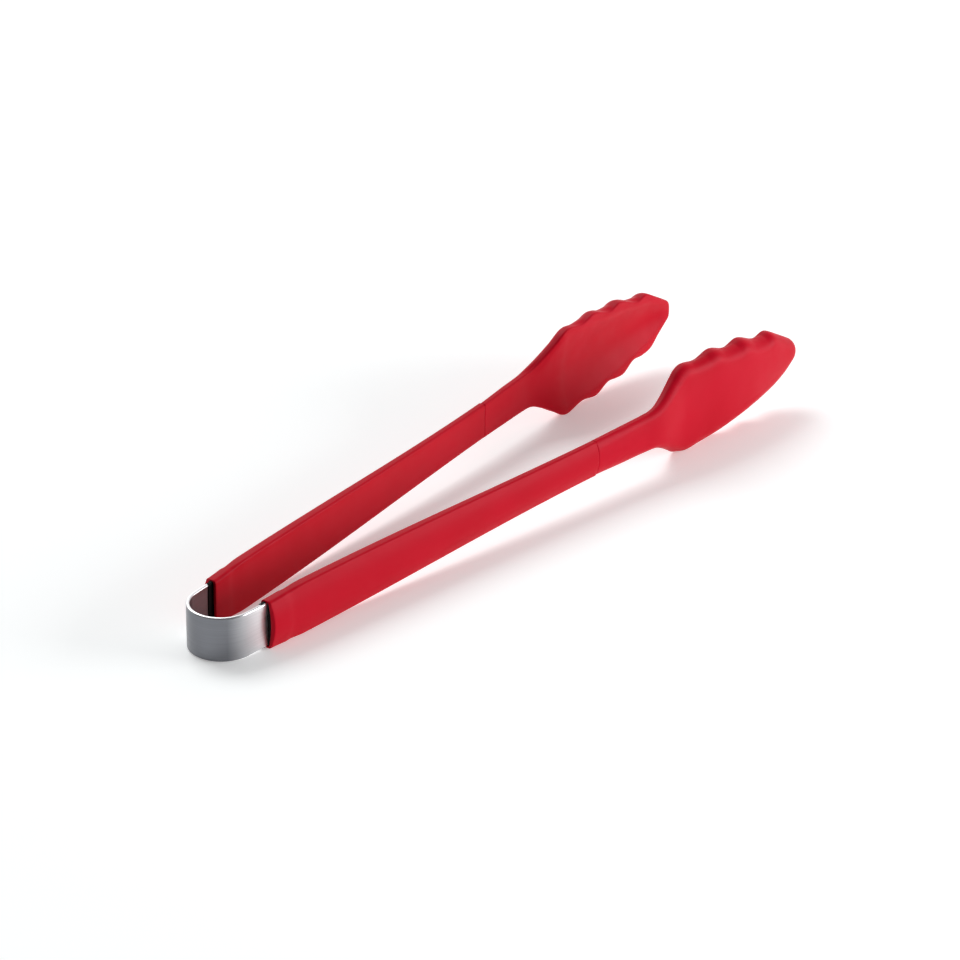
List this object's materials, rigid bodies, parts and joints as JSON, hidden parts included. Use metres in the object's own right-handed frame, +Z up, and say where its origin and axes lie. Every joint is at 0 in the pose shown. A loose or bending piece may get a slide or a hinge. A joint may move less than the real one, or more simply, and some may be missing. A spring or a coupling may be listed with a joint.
{
  "type": "spring loaded kitchen tongs",
  "caption": "Kitchen tongs: a bent steel spring band holds two silicone covered arms with scalloped, cupped gripping heads that close when squeezed.",
  "frame": {"origin": "centre of the footprint at the surface the tongs lie on", "axes": "+X along the tongs from the spring bow towards the heads, +Y towards the left arm, +Z up from the surface; the band stands on its narrow edge"},
  "size_m": [0.2948, 0.0648, 0.0342],
  "materials": {
    "band_steel": "brushed",
    "core_nylon": "satin",
    "sleeve_silicone": "matte",
    "head_silicone": "matte"
  },
  "bodies": {
    "spring_bow": {"spring_bow": "band_steel"},
    "left_arm": {"left_spring_leg": "band_steel", "left_arm_core": "core_nylon", "left_handle_sleeve": "sleeve_silicone", "left_head_cover": "head_silicone"},
    "right_arm": {"right_spring_leg": "band_steel", "right_arm_core": "core_nylon", "right_handle_sleeve": "sleeve_silicone", "right_head_cover": "head_silicone"}
  },
  "joints": [
    {"name": "left_arm_squeeze", "type": "hinge", "parent": "spring_bow", "child": "left_arm", "pos_m": [-0.14045, 0.0079, 0.00801], "axis": [0.0396, 0, -0.9992], "range_deg": [0, 4.95], "stiffness_Nm_per_rad": 21.06, "deforming": ["spring_bow"]},
    {"name": "right_arm_squeeze", "type": "hinge", "parent": "spring_bow", "child": "right_arm", "pos_m": [-0.14045, -0.0079, 0.00801], "axis": [-0.0396, 0, 0.9992], "range_deg": [0, 4.95], "stiffness_Nm_per_rad": 21.06, "deforming": ["spring_bow"]}
  ],
  "couplings": [
    {"joint": "right_arm_squeeze", "follows": "left_arm_squeeze", "ratio": 1}
  ]
}
